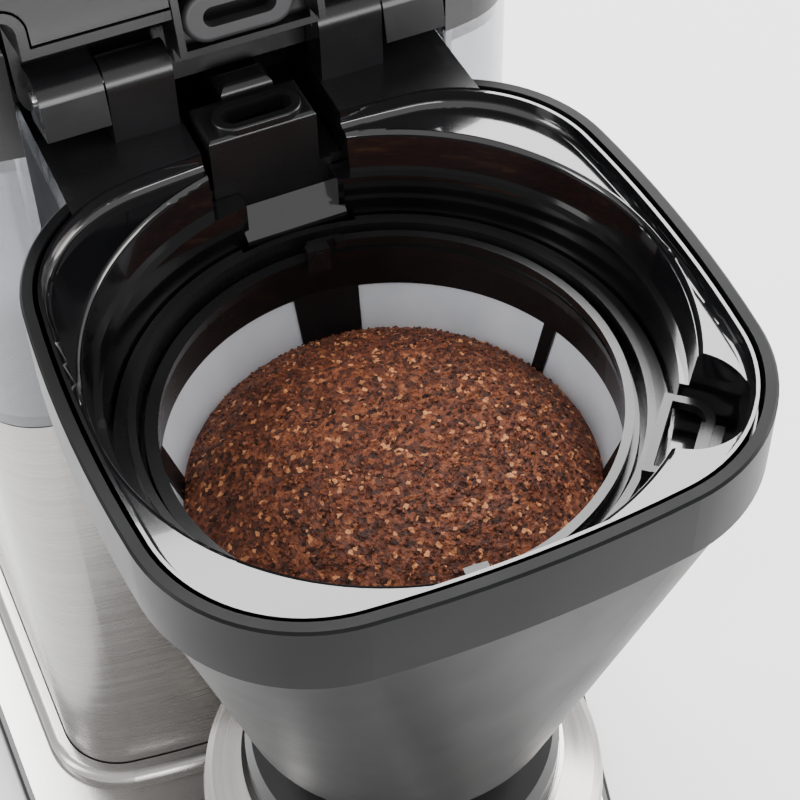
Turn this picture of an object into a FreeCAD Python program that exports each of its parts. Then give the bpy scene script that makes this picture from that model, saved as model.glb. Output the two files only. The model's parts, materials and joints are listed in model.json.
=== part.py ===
import FreeCAD
import Part
import math
import os

# Drip coffee maker: a tower with a wrap-round water tank, a cantilevered brew head with a
# flip-up lid, and a thermal carafe on a steel base.  Millimetres, +Z up, front towards -Y.
# The pieces are drawn about the brew axis, the vertical line through the middle of the
# filter, and moved at the end so that the origin lies on the table under the middle of
# the whole machine.

V = FreeCAD.Vector

# ---------------------------------------------------------------- driving dimensions
BREW_Z = 295.0            # plane of the brew basket's rim above the table
TOP_Z = 352.0             # top of the tank deck and of the closed lid

BASE_FRONT = -84.0
BASE_BACK = 248.0
BASE_TOP = 30.0
FOOT_H = 2.0
TRAY_FLOOR_TOP = 5.0
PLATE_T = 1.2

TOWER_HALF_W = 84.0
TOWER_FRONT = 87.0
TOWER_BACK = 240.0
TOWER_FRONT_R = 360.0
TOWER_CORNER_R = 22.0
TOWER_BACK_R = 30.0
SLEEVE_TOP = 219.5
TANK_TOP = 319.0
COLLAR_TOP = 338.0

RIM_HALF_W = 76.5
RIM_SIDE_R = 350.0
RIM_CORNER_R = 42.0
RIM_Z = BREW_Z + 26.5
SKIRT_Z = BREW_Z + 7.0
CONE_Z = BREW_Z - 112.0
CONE_R = 47.0
LIP_W = 3.0               # satin lip round the top of the brew head
BOWL_INSET = 4.2          # edge of the glossy bowl inside the lip
DISH_INSET = 5.0

STEP_A = (69.8, 21.8)     # bowl steps: radius, height above BREW_Z
STEP_A_ROUND = 1.4        # rounded edge between the dish and the upper step
DISH_R = 1.7              # hollow bend between the dish and the lip
STEP_B = (66.5, 10.3)
SEAT_Z = -4.0
BASKET_RIM_R = 62.0
BASKET_RIM_BORE = 60.1
SEAT_BORE = 63.5          # opening of the ring that the basket hangs in

NECK_HALF_W = 54.0
WELL_HALF_W = 57.5        # half width of the gap the tank leaves for the neck
NECK_BACK = 113.0
HINGE_Y = 90.0
HINGE_Z = BREW_Z + 42.0
BARREL_R = 6.0
PIN_R = 2.0
PIN_BORE_R = 2.05
LID_OPEN_DEG = 102.0      # the lid is drawn open; closing turns it by this much

FILTER_AXIS_DEG = 86.0    # direction of the bail handle's pivot line
BAIL_R = 56.0

CARAFE_R = 60.0
CARAFE_FOOT_Z = 32.3
CARAFE_SHOULDER_Z = 134.0
HANDLE_FRONT = -103.0
GLAND_BACK = BASE_BACK + 3.0

GAP = 0.3                 # clearance between bodies that move apart


# ---------------------------------------------------------------- helpers
def box(x0, x1, y0, y1, z0, z1):
    return Part.makeBox(x1 - x0, y1 - y0, z1 - z0, V(x0, y0, z0))


def cyl(radius, z0, z1, x=0.0, y=0.0):
    return Part.makeCylinder(radius, z1 - z0, V(x, y, z0))


def rod(radius, start, end):
    """Round bar between two points."""
    run = end.sub(start)
    return Part.makeCylinder(radius, run.Length, start, run)


def x_rod(radius, x0, x1, y, z):
    return rod(radius, V(x0, y, z), V(x1, y, z))


def y_rod(radius, y0, y1, x, z):
    return rod(radius, V(x, y0, z), V(x, y1, z))


def fuse(shapes):
    """One solid from several that touch or overlap."""
    shapes = list(shapes)
    if len(shapes) == 1:
        return shapes[0]
    return shapes[0].multiFuse(shapes[1:]).removeSplitter()


def group(shapes):
    return Part.makeCompound(list(shapes))


def mirrored(shape):
    """The same shape on the other side of the YZ plane."""
    return shape.mirror(V(0, 0, 0), V(1, 0, 0))


def edges_where(shape, test):
    return [e for e in shape.Edges if test(e)]


def lies_at_z(edge, z, tolerance=0.02):
    bb = edge.BoundBox
    return abs(bb.ZMin - z) < tolerance and abs(bb.ZMax - z) < tolerance


def arc(cx, cy, radius, start_deg, end_deg, z):
    def at(deg):
        turn = math.radians(deg)
        return V(cx + radius * math.cos(turn), cy + radius * math.sin(turn), z)
    return Part.Arc(at(start_deg), at((start_deg + end_deg) / 2.0), at(end_deg))


def outline(arcs, inset, z):
    """Closed wire through arcs listed counter-clockwise, with straight runs between them.

    Each arc is (centre x, centre y, radius, start angle, end angle), with the end angle the
    smaller one on a hollow bend; inset moves the whole outline inwards by the same distance."""
    curves = [arc(cx, cy, r - inset if a1 > a0 else r + inset, a0, a1, z) for cx, cy, r, a0, a1 in arcs]
    edges = []
    for here, after in zip(curves, curves[1:] + curves[:1]):
        edges.append(here.toShape())
        if here.EndPoint.distanceToPoint(after.StartPoint) > 0.001:
            edges.append(Part.LineSegment(here.EndPoint, after.StartPoint).toShape())
    return Part.Wire(edges)


def prism(arcs, inset, z0, z1):
    return Part.Face(outline(arcs, inset, z0)).extrude(V(0, 0, z1 - z0))


def rounded_rect_arcs(x0, x1, y0, y1, r):
    return [(x1 - r, y0 + r, r, -90, 0), (x1 - r, y1 - r, r, 0, 90),
            (x0 + r, y1 - r, r, 90, 180), (x0 + r, y0 + r, r, 180, 270)]


def stadium_arcs(cx, cy, half_length, r):
    """Oval with straight sides along X and round ends."""
    reach = half_length - r
    return [(cx + reach, cy, r, -90, 90), (cx - reach, cy, r, 90, 270)]


def rim_arcs():
    """Square with gently bowed sides and large round corners."""
    k = RIM_SIDE_R - RIM_HALF_W
    c = (math.sqrt(2 * (RIM_SIDE_R - RIM_CORNER_R) ** 2 - k * k) - k) / 2.0
    a = math.degrees(math.atan2(c, c + k))
    arcs = []
    for quarter in range(4):
        turn = 90.0 * quarter
        cos_q, sin_q = round(math.cos(math.radians(turn))), round(math.sin(math.radians(turn)))
        arcs.append((-k * cos_q, -k * sin_q, RIM_SIDE_R, turn - a, turn + a))
        corner = (c * cos_q - c * sin_q, c * sin_q + c * cos_q)
        arcs.append((corner[0], corner[1], RIM_CORNER_R, turn + a, turn + 90.0 - a))
    return arcs


def tower_arcs():
    """Tower plan: bowed front, round front corners, straight sides and back."""
    reach = TOWER_HALF_W - TOWER_CORNER_R
    centre_y = TOWER_FRONT + TOWER_FRONT_R
    swing = TOWER_FRONT_R - TOWER_CORNER_R
    corner_y = centre_y - math.sqrt(swing ** 2 - reach ** 2)
    a = math.degrees(math.asin(reach / swing))
    back_x = TOWER_HALF_W - TOWER_BACK_R
    back_y = TOWER_BACK - TOWER_BACK_R
    return [(0.0, centre_y, TOWER_FRONT_R, 270 - a, 270 + a),
            (reach, corner_y, TOWER_CORNER_R, 270 + a, 360),
            (back_x, back_y, TOWER_BACK_R, 0, 90),
            (-back_x, back_y, TOWER_BACK_R, 90, 180),
            (-reach, corner_y, TOWER_CORNER_R, 180, 270 - a)]


def base_arcs():
    """Base plan: a shallow bow in front, widening to its full width beside the tower."""
    bow_r, corner_r, half_bow, flare = 170.0, 50.0, 9.5, 16.0
    bow_y = BASE_FRONT + bow_r
    corner_x = (bow_r - corner_r) * math.sin(math.radians(half_bow))
    corner_y = bow_y - (bow_r - corner_r) * math.cos(math.radians(half_bow))
    right = [(corner_x, corner_y, corner_r, 270.0 + half_bow, 360.0 - flare),
             (-15.0, 100.0, 120.0, -flare, 0.0), (63.0, BASE_BACK - 42.0, 42.0, 0.0, 90.0)]
    left = [(-x, y, radius, 180 - end, 180 - start) for x, y, radius, start, end in reversed(right)]
    return [(0.0, bow_y, bow_r, 270.0 - half_bow, 270.0 + half_bow)] + right + left


RIM = rim_arcs()
TOWER = tower_arcs()
BASE = base_arcs()


def revolve(profile):
    """Solid of revolution about the Z axis from (radius, z) points."""
    points = [V(r, 0, z) for r, z in profile]
    wire = Part.makePolygon(points + points[:1])
    return Part.Face(wire).revolve(V(0, 0, 0), V(0, 0, 1), 360)


def ring(r_out, r_in, z0, z1, x=0.0, y=0.0):
    return cyl(r_out, z0, z1, x, y).cut(cyl(r_in, z0, z1, x, y))


def circle_wire_like(arcs, radius, z):
    """Circle split into as many arcs as the outline, for a clean loft between the two."""
    edges = []
    for _, _, _, a0, a1 in arcs:
        edges.append(arc(0, 0, radius, a0, a1, z).toShape())
    return Part.Wire(edges)


def rim_cone(inset, z_top, radius, z_bottom):
    """Solid between the rim outline above and a circle below."""
    top = outline(RIM, inset, z_top)
    bottom = circle_wire_like(RIM, radius, z_bottom)
    return Part.makeLoft([bottom, top], True, True)


def tube_path(points, radius_of_bend):
    """Wire of straight runs joined by tangent arcs."""
    edges = []
    start = points[0]
    for before, corner, after in zip(points, points[1:], points[2:]):
        into = corner.sub(before).normalize()
        out = after.sub(corner).normalize()
        turn = into.getAngle(out)
        cut = radius_of_bend * math.tan(turn / 2.0)
        first = corner.sub(V(into).multiply(cut))
        last = corner.add(V(out).multiply(cut))
        inward = V(out).sub(into).normalize()
        depth = radius_of_bend / math.cos(turn / 2.0) - radius_of_bend
        middle = corner.add(V(inward).multiply(depth))
        edges.append(Part.LineSegment(start, first).toShape())
        edges.append(Part.Arc(first, middle, last).toShape())
        start = last
    edges.append(Part.LineSegment(start, points[-1]).toShape())
    return Part.Wire(edges)


def bent_tube(points, r_out, r_in, radius_of_bend):
    path = tube_path(points, radius_of_bend)
    along = points[1].sub(points[0])

    def sweep(radius):
        circle = Part.Wire(Part.Circle(points[0], along, radius).toShape())
        return path.makePipeShell([circle], True, False)

    outer = sweep(r_out)
    if r_in <= 0:
        return outer
    return outer.cut(sweep(r_in))


def lid_pose(shape):
    """Turn a lid part from the closed position to the open one it rests in."""
    opened = shape.copy()
    opened.rotate(V(0, HINGE_Y, HINGE_Z), V(1, 0, 0), -LID_OPEN_DEG)
    return opened


def filter_pose(shape):
    """Turn a filter part so that its own X axis lies square to the bail pivot line."""
    turned = shape.copy()
    turned.rotate(V(0, 0, 0), V(0, 0, 1), FILTER_AXIS_DEG - 90.0)
    return turned


def rel(z):
    return BREW_Z + z


parts = {}


# ---------------------------------------------------------------- base
FOOT_SPOTS = [(s * x, y) for s in (-1, 1) for x, y in ((44.0, -46.0), (78.0, 84.0), (78.0, 222.0))]
BASE_SCREW_SPOTS = [(s * x, y) for s in (-1, 1) for x, y in ((60.0, 0.0), (92.0, 130.0))]
POSTS = [(-56.0, 110.0), (56.0, 110.0), (-66.0, 210.0), (66.0, 210.0)]
GLAND_X = -58.0
GLAND_Z = 16.0
PANEL_HALF_W = 28.0
PANEL_Z0 = 8.0
PANEL_Z1 = 25.0
BUTTON_R = 6.0
BUTTON_X = 16.0
BUTTON_Z = 16.5
LENS_R = 2.4


def make_base_tray():
    tray = prism(BASE, 0, FOOT_H, BASE_TOP)
    tray = tray.makeFillet(1.5, edges_where(tray, lambda e: lies_at_z(e, BASE_TOP)))
    tray = tray.makeFillet(2.5, edges_where(tray, lambda e: lies_at_z(e, FOOT_H)))
    tray = tray.cut(prism(BASE, 3.0, BASE_TOP - PLATE_T, BASE_TOP + 1))
    tray = tray.cut(prism(BASE, 6.0, TRAY_FLOOR_TOP, BASE_TOP))
    bosses = [cyl(4.5, TRAY_FLOOR_TOP - 1, BASE_TOP - PLATE_T, x, y) for x, y in BASE_SCREW_SPOTS]
    tray = fuse([tray] + bosses)
    holes = [cyl(1.6, 0, BASE_TOP - 4, x, y) for x, y in BASE_SCREW_SPOTS]
    holes += [cyl(3.6, 0, FOOT_H + 2, x, y) for x, y in BASE_SCREW_SPOTS + POSTS]
    holes += [cyl(1.7, 0, TRAY_FLOOR_TOP + 1, x, y) for x, y in POSTS]
    holes += [cyl(2.5, 0, 10, x, y) for x, y in FOOT_SPOTS]
    holes.append(y_rod(7.0, BASE_BACK - 12, BASE_BACK + 1, GLAND_X, GLAND_Z))
    holes.append(box(-PANEL_HALF_W, PANEL_HALF_W, BASE_FRONT - 1, BASE_FRONT + 10, PANEL_Z0, PANEL_Z1))
    return tray.cut(group(holes))


def make_base_plate():
    plate = prism(BASE, 3.1, BASE_TOP - PLATE_T, BASE_TOP)
    collar = prism(TOWER, -7.0, BASE_TOP - PLATE_T, BASE_TOP + 5.5)
    collar = collar.makeFillet(4.0, edges_where(collar, lambda e: lies_at_z(e, BASE_TOP + 5.5)))
    collar = collar.common(prism(BASE, 3.1, BASE_TOP - PLATE_T, BASE_TOP + 6.0))
    plate = fuse([plate, collar])
    plate = plate.cut(prism(TOWER, -0.4, BASE_TOP - 5, BASE_TOP + 10))
    return plate


def make_feet():
    feet = []
    for x, y in FOOT_SPOTS:
        pad = cyl(9.0, 0, FOOT_H, x, y)
        feet.append(fuse([pad, cyl(2.5, FOOT_H, 8.0, x, y)]))
    return group(feet)


def screw(x, y, z_head, head_r, head_h, shank_r, length):
    """Pan-head screw pointing up, its head's underside at z_head + head_h."""
    head = cyl(head_r, z_head, z_head + head_h, x, y)
    shank = cyl(shank_r, z_head + head_h, z_head + length, x, y)
    slot = box(x - head_r, x + head_r, y - 0.4, y + 0.4, z_head, z_head + 0.8)
    return fuse([head, shank]).cut(slot)


def make_base_screws():
    return group([screw(x, y, FOOT_H + 0.4, 3.3, 1.6, 1.6, 20.0) for x, y in BASE_SCREW_SPOTS + POSTS])


def make_control_panel():
    x = PANEL_HALF_W - 0.1
    panel = prism(BASE, 0.3, PANEL_Z0 + 0.1, PANEL_Z1 - 0.1).cut(prism(BASE, 2.3, 0, BASE_TOP))
    panel = panel.common(box(-x, x, BASE_FRONT - 1, BASE_FRONT + 10, 0, BASE_TOP))
    cuts = [y_rod(BUTTON_R + 0.25, BASE_FRONT - 1, BASE_FRONT + 5, x, BUTTON_Z)
            for x in (-BUTTON_X, BUTTON_X)]
    cuts.append(y_rod(LENS_R, BASE_FRONT - 1, BASE_FRONT + 5, 0, BUTTON_Z))
    return panel.cut(group(cuts))


def make_button(x):
    cap = y_rod(BUTTON_R, BASE_FRONT - 1.2, BASE_FRONT + 7.0, x, BUTTON_Z)
    cap = cap.makeFillet(0.8, [e for e in cap.Edges if abs(e.BoundBox.YMax - (BASE_FRONT - 1.2)) < 0.01])
    flange = y_rod(BUTTON_R + 1.2, BASE_FRONT + 5.4, BASE_FRONT + 7.0, x, BUTTON_Z)
    stem = y_rod(1.5, BASE_FRONT + 7.0, BASE_FRONT + 9.2, x, BUTTON_Z)
    return fuse([cap, flange, stem])


def make_circuit_board():
    board = box(-30, 30, BASE_FRONT + 14.0, BASE_FRONT + 15.6, TRAY_FLOOR_TOP, PANEL_Z1 + 1)
    switches = [box(x - 3, x + 3, BASE_FRONT + 11.0, BASE_FRONT + 14.0, BUTTON_Z - 3, BUTTON_Z + 3)
                for x in (-BUTTON_X, BUTTON_X)]
    relay = box(-28, -12, BASE_FRONT + 15.6, BASE_FRONT + 27.0, PANEL_Z0 + 2, PANEL_Z0 + 14)
    supply = box(6, 28, BASE_FRONT + 15.6, BASE_FRONT + 29.0, PANEL_Z0 + 1, PANEL_Z0 + 15)
    return fuse([board, relay, supply] + switches)


def make_indicator_lens():
    dome = y_rod(LENS_R, BASE_FRONT - 0.4, BASE_FRONT + 2.3, 0, BUTTON_Z)
    pipe = y_rod(LENS_R - 0.6, BASE_FRONT + 2.3, BASE_FRONT + 14.0, 0, BUTTON_Z)
    return fuse([dome, pipe])


def make_cord_gland():
    body = y_rod(7.0, BASE_BACK - 9.0, BASE_BACK, GLAND_X, GLAND_Z)
    flange = y_rod(9.5, BASE_BACK, GLAND_BACK, GLAND_X, GLAND_Z)
    flange = flange.makeFillet(1.2, [e for e in flange.Edges if abs(e.BoundBox.YMin - GLAND_BACK) < 0.01])
    return fuse([body, flange]).cut(y_rod(3.6, BASE_BACK - 12, BASE_BACK + 5, GLAND_X, GLAND_Z))


def make_carafe_rest():
    rest = cyl(57.0, BASE_TOP, BASE_TOP + 2.0)
    rest = rest.makeFillet(0.8, edges_where(rest, lambda e: lies_at_z(e, BASE_TOP + 2.0)))
    return rest.cut(ring(50.0, 48.4, BASE_TOP + 1.2, BASE_TOP + 3))


parts["base_tray"] = make_base_tray()
parts["base_plate"] = make_base_plate()
parts["rubber_feet"] = make_feet()
parts["base_screws"] = make_base_screws()
parts["control_panel"] = make_control_panel()
parts["power_button"] = make_button(-BUTTON_X)
parts["batch_size_button"] = make_button(BUTTON_X)
parts["indicator_lens"] = make_indicator_lens()
parts["circuit_board"] = make_circuit_board()
parts["cord_gland"] = make_cord_gland()
parts["carafe_rest"] = make_carafe_rest()


# ---------------------------------------------------------------- tower
COVER_HALF_W = 50.0
FRAME_TOP_Z0 = 213.0
FRAME_FLOOR_Z = 36.0
OUTLET = (-38.0, 150.0)           # tank outlet
RISER = (0.0, 98.0)               # riser tube's line inside the neck
HEATER_Z0 = 46.0
HEATER_Z1 = 74.0


def make_tower_sleeve():
    sleeve = prism(TOWER, 0, BASE_TOP + 0.4, SLEEVE_TOP).cut(prism(TOWER, 1.0, 0, TANK_TOP))
    window = box(-COVER_HALF_W, COVER_HALF_W, TOWER_BACK - 20, TOWER_BACK + 5, BASE_TOP + 6, SLEEVE_TOP + 1)
    return sleeve.cut(window)


def make_back_cover():
    x = COVER_HALF_W - GAP
    cover = box(-x, x, TOWER_BACK - 2.5, TOWER_BACK, BASE_TOP + 6.2, SLEEVE_TOP)
    lugs = [box(s * 46 - 4, s * 46 + 4, TOWER_BACK - 7.0, TOWER_BACK - 2.5, z - 4, z + 4)
            for s in (-1, 1) for z in (60.0, 190.0)]
    slots = [box(-30, 30, TOWER_BACK - 4, TOWER_BACK + 1, 80.0 + 7 * i, 83.0 + 7 * i) for i in range(6)]
    holes = [y_rod(1.7, TOWER_BACK - 8, TOWER_BACK + 1, s * 46, z) for s in (-1, 1) for z in (60.0, 190.0)]
    return fuse([cover] + lugs).cut(group(slots + holes))


def make_back_cover_screws():
    screws = []
    for x in (-46.0, 46.0):
        for z in (60.0, 190.0):
            head = y_rod(3.2, TOWER_BACK, TOWER_BACK + 1.4, x, z)
            shank = y_rod(1.6, TOWER_BACK - 14.0, TOWER_BACK, x, z)
            slot = box(x - 0.4, x + 0.4, TOWER_BACK + 0.7, TOWER_BACK + 2, z - 4, z + 4)
            screws.append(fuse([head, shank]).cut(slot))
    return group(screws)


def make_tower_frame():
    top = prism(TOWER, 1.3, FRAME_TOP_Z0, SLEEVE_TOP)
    floor = prism(TOWER, 1.3, FRAME_FLOOR_Z - 5.0, FRAME_FLOOR_Z)
    floor = floor.cut(prism(TOWER, 18.0, 0, 100))
    posts = [cyl(6.0, TRAY_FLOOR_TOP, FRAME_TOP_Z0 + 1, x, y) for x, y in POSTS]
    rails = [box(s * 46 - 6, s * 46 + 6, TOWER_BACK - 16, TOWER_BACK - 7.0, FRAME_FLOOR_Z - 3, FRAME_TOP_Z0 + 1)
             for s in (-1, 1)]
    frame = fuse([top, floor] + posts + rails)
    holes = [cyl(11.0, 200, 230, *OUTLET), cyl(7.0, 200, 230, *RISER)]
    holes.append(box(-COVER_HALF_W, COVER_HALF_W, TOWER_BACK - 2.6, TOWER_BACK, FRAME_TOP_Z0 - 1, SLEEVE_TOP + 1))
    holes += [y_rod(1.6, TOWER_BACK - 15, TOWER_BACK, s * 46, z) for s in (-1, 1) for z in (60.0, 190.0)]
    holes += [cyl(1.7, 200, 230, x, 104.0) for x in (-36.0, 36.0)]
    holes += [cyl(1.6, 0, 23.0, x, y) for x, y in POSTS]
    return frame.cut(group(holes))


def make_heater_block():
    block = box(-48, 48, 128, 178, HEATER_Z0, HEATER_Z1)
    block = block.makeFillet(5.0, [e for e in block.Edges if e.BoundBox.ZLength > 20])
    fins = [box(-46 + 12 * i, -42 + 12 * i, 130, 176, HEATER_Z1, HEATER_Z1 + 6) for i in range(8)]
    legs = [box(x - 5, x + 5, 146, 160, TRAY_FLOOR_TOP, HEATER_Z0) for x in (-34, 34)]
    return fuse([block] + fins + legs).cut(group([x_rod(6.0, -60, 60, 140, 60), x_rod(4.0, -60, 60, 165, 60)]))


def make_heating_element():
    return fuse([x_rod(4.0, -62, 62, 165, 60), x_rod(1.5, -70, 70, 165, 60)])


def make_water_tube():
    """Steel tube cast through the heater; hoses push on to both of its ends."""
    return x_rod(6.0, -60, 60, 140, 60).cut(x_rod(4.6, -60, 60, 140, 60))


def make_thermostat():
    body = cyl(9.0, HEATER_Z0 - 8.0, HEATER_Z0, 0, 150)
    tags = [box(x - 2.5, x + 2.5, 149.5, 150.5, HEATER_Z0 - 16, HEATER_Z0 - 8) for x in (-5, 5)]
    return fuse([body] + tags)


def make_thermal_fuse():
    barrel = x_rod(2.2, -6, 6, 170, HEATER_Z0 - 2.2)
    leads = x_rod(0.6, -16, 16, 170, HEATER_Z0 - 2.2)
    return fuse([barrel, leads])


VALVE = (-69.0, 140.0)            # check valve on its side of the heater
VALVE_Z0 = 78.0
VALVE_Z1 = 100.0
BALL_R = 3.0


def make_check_valve():
    """Upright barrel with a ball that the boiling water pushes up against its seat."""
    body = cyl(8.0, VALVE_Z0, VALVE_Z1, *VALVE)
    chamber = cyl(4.4, VALVE_Z0 + 5.0, VALVE_Z1 - 7.0, *VALVE)
    seat = cyl(2.2, VALVE_Z0 - 1, VALVE_Z1 + 1, *VALVE)
    x, y = VALVE
    bypass = [box(x - 3.9, x + 3.9, y - 0.8, y + 0.8, VALVE_Z0 - 1, VALVE_Z0 + 6),
              box(x - 0.8, x + 0.8, y - 3.9, y + 3.9, VALVE_Z0 - 1, VALVE_Z0 + 6)]
    return body.cut(group([chamber, seat])).cut(bypass[0]).cut(bypass[1])


def make_check_ball():
    return Part.makeSphere(BALL_R, V(VALVE[0], VALVE[1], VALVE_Z0 + 5.0 + BALL_R - 0.8))


FEED_PATH = [V(OUTLET[0], OUTLET[1], 207), V(OUTLET[0], OUTLET[1], 150), V(VALVE[0], VALVE[1], 128),
             V(VALVE[0], VALVE[1], VALVE_Z1)]
ELBOW_PATH = [V(VALVE[0], VALVE[1], VALVE_Z0), V(VALVE[0], VALVE[1], 60), V(-60.3, 140, 60)]
RISER_PATH = [V(60.3, 140, 60), V(70, 140, 60), V(70, 140, 150), V(0, 98, 185), V(0, 98, rel(9.7))]


def make_feed_hoses():
    return group([bent_tube(FEED_PATH, 6.0, 4.0, 14.0), bent_tube(ELBOW_PATH, 6.0, 4.0, 8.4)])


def make_riser_hose():
    return bent_tube(RISER_PATH, 6.0, 4.0, 9.5)


def clamp_ring(x, y, z):
    band = ring(7.0, 6.0, z - 3, z + 3, x, y)
    ear = box(x + 6.5, x + 10.0, y - 1.5, y + 1.5, z - 2, z + 2)
    return fuse([band, ear])


def make_hose_clamps():
    return group([clamp_ring(OUTLET[0], OUTLET[1], 196.0), clamp_ring(0, 98, rel(2))])


def make_head_screws():
    return group([screw(x, 104.0, FRAME_TOP_Z0 - 2.0, 3.2, 2.0, 1.7, 26.0) for x in (-36.0, 36.0)])


parts["tower_sleeve"] = make_tower_sleeve()
parts["back_cover"] = make_back_cover()
parts["back_cover_screws"] = make_back_cover_screws()
parts["tower_frame"] = make_tower_frame()
parts["heater_block"] = make_heater_block()
parts["heating_element"] = make_heating_element()
parts["water_tube"] = make_water_tube()
parts["thermostat"] = make_thermostat()
parts["thermal_fuse"] = make_thermal_fuse()
parts["check_valve"] = make_check_valve()
parts["check_ball"] = make_check_ball()
parts["feed_hoses"] = make_feed_hoses()
parts["riser_hose"] = make_riser_hose()
parts["hose_clamps"] = make_hose_clamps()
parts["head_screws"] = make_head_screws()


# ---------------------------------------------------------------- water tank
TANK_WALL = 2.4
FLAP = (-66.0, 66.0, 128.0, 226.0)
FLAP_T = 2.7
FLAP_BARREL_R = 2.4
FLAP_HINGE_Z = TOP_Z - 2.6


def neck_gap(extra, z0, z1):
    """Space that the tank parts leave for the neck, grown by extra."""
    x = WELL_HALF_W + extra
    return box(-x, x, TOWER_FRONT - 20, NECK_BACK + 1.0 + extra, z0, z1)


def tank_band(inset, z0, z1):
    return prism(TOWER, inset, z0, z1).cut(neck_gap(inset, z0 - 1, z1 + 1))


def make_water_tank():
    shell = tank_band(0, SLEEVE_TOP + 0.5, TANK_TOP)
    shell = shell.cut(tank_band(TANK_WALL, SLEEVE_TOP + 3.5, TANK_TOP + 1))
    spigot = cyl(10.0, SLEEVE_TOP - 10.0, SLEEVE_TOP + 1.0, *OUTLET)
    nipple = cyl(4.0, SLEEVE_TOP - 26.0, SLEEVE_TOP - 9.0, *OUTLET)
    return fuse([shell, spigot, nipple]).cut(cyl(2.8, 150, 240, *OUTLET))


def make_tank_collar():
    collar = tank_band(0, TANK_TOP, COLLAR_TOP).cut(tank_band(3.0, TANK_TOP - 1, COLLAR_TOP + 1))
    lip = tank_band(TANK_WALL + 0.1, TANK_TOP - 5.0, TANK_TOP + 1)
    lip = lip.cut(tank_band(TANK_WALL + 1.6, TANK_TOP - 6, TANK_TOP + 2))
    return fuse([collar, lip])


def make_tank_deck():
    deck = tank_band(0, COLLAR_TOP, TOP_Z)
    deck = deck.makeFillet(2.0, edges_where(deck, lambda e: lies_at_z(e, TOP_Z)))
    deck = deck.cut(tank_band(3.0, COLLAR_TOP - 1, TOP_Z - 4.5))
    x0, x1, y0, y1 = FLAP
    seat = flap_plan(GAP, TOP_Z - FLAP_T - GAP, TOP_Z + 1)
    mouth = prism(rounded_rect_arcs(x0 + 6, x1 - 6, y0 + 6, y1 - 12, 8.0), 0, COLLAR_TOP, TOP_Z + 1)
    trough = box(x0 - GAP, x1 + GAP, y1 - FLAP_BARREL_R - GAP, y1 + FLAP_BARREL_R + GAP,
                 FLAP_HINGE_Z - FLAP_BARREL_R - GAP, TOP_Z + 1)
    floor = box(x0 - 3, x1 + 3, y1 - 10, y1 + 6.0, TOP_Z - 8.0, TOP_Z - 4.4)
    pin_bore = x_rod(1.2, -70, 70, y1, FLAP_HINGE_Z)
    return fuse([deck, floor]).cut(group([seat, mouth, trough, pin_bore]))


def flap_plan(grow, z0, z1):
    """Flap outline up to its hinge line: round front corners, square rear ones."""
    x0, x1, y0, y1 = FLAP
    front = prism(rounded_rect_arcs(x0 - grow, x1 + grow, y0 - grow, y1 - 20, 12.0), 0, z0, z1)
    return fuse([front, box(x0 - grow, x1 + grow, y1 - 40, y1, z0, z1)])


def make_tank_flap():
    x0, x1, y0, y1 = FLAP
    plate = flap_plan(0, TOP_Z - FLAP_T, TOP_Z - 0.2)
    barrel = x_rod(FLAP_BARREL_R, x0, x1, y1, FLAP_HINGE_Z)
    grip = box(-16, 16, y0 + 4, y0 + 16, TOP_Z - 1.4, TOP_Z + 1)
    return fuse([plate, barrel]).cut(group([x_rod(1.25, x0 - 1, x1 + 1, y1, FLAP_HINGE_Z), grip]))


def make_tank_strainer():
    z = SLEEVE_TOP + 3.5
    cap = ring(9.0, 7.6, z, z + 12.0, *OUTLET).fuse(cyl(9.0, z + 12.0, z + 13.2, *OUTLET))
    slots = []
    for i in range(8):
        slot = box(OUTLET[0] - 1, OUTLET[0] + 1, OUTLET[1] - 12, OUTLET[1], z + 3, z + 10)
        slot.rotate(V(OUTLET[0], OUTLET[1], 0), V(0, 0, 1), 45.0 * i)
        slots.append(slot)
    return cap.cut(group(slots))


def make_tank_seal():
    return ring(16.0, 10.0, SLEEVE_TOP, SLEEVE_TOP + 0.5, *OUTLET)


parts["water_tank"] = make_water_tank()
parts["tank_collar"] = make_tank_collar()
parts["tank_deck"] = make_tank_deck()
parts["tank_flap"] = make_tank_flap()
parts["tank_flap_pin"] = x_rod(1.2, -70.0, 70.0, FLAP[3], FLAP_HINGE_Z)
parts["tank_strainer"] = make_tank_strainer()
parts["tank_seal"] = make_tank_seal()


# ---------------------------------------------------------------- brew head
POCKET = (51.0, -46.0, 14.5)      # grip pocket in the front right corner: x, y, radius
CHANNEL_HALF_W = 18.5
CHANNEL_FLOOR = 10.3      # level with the lower bowl step
CHUTE = (-10.0, 14.5, 62.6)       # chute below the port: x from, x to, y of its lip
CHUTE_WALL = 1.4
CHUTE_END = 70.9
KNUCKLE_X = (19.2, 36.2)          # the head's knuckles; the lid's stand outside them
LID_KNUCKLE_X = (36.7, 53.0)
BLOCK_Z = 16.0                    # underside of the hinge block above BREW_Z


def grip_pocket(grow, z0, z1):
    x, y, r = POCKET
    round_end = cyl(r + grow, z0, z1, x, y)
    throat = box(-r - grow, r + grow, 0, 30, z0, z1)
    throat.rotate(V(0, 0, 0), V(0, 0, 1), math.degrees(math.atan2(-y, -x)) - 90.0)
    throat.translate(V(x, y, 0))
    return fuse([round_end, throat])


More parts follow.
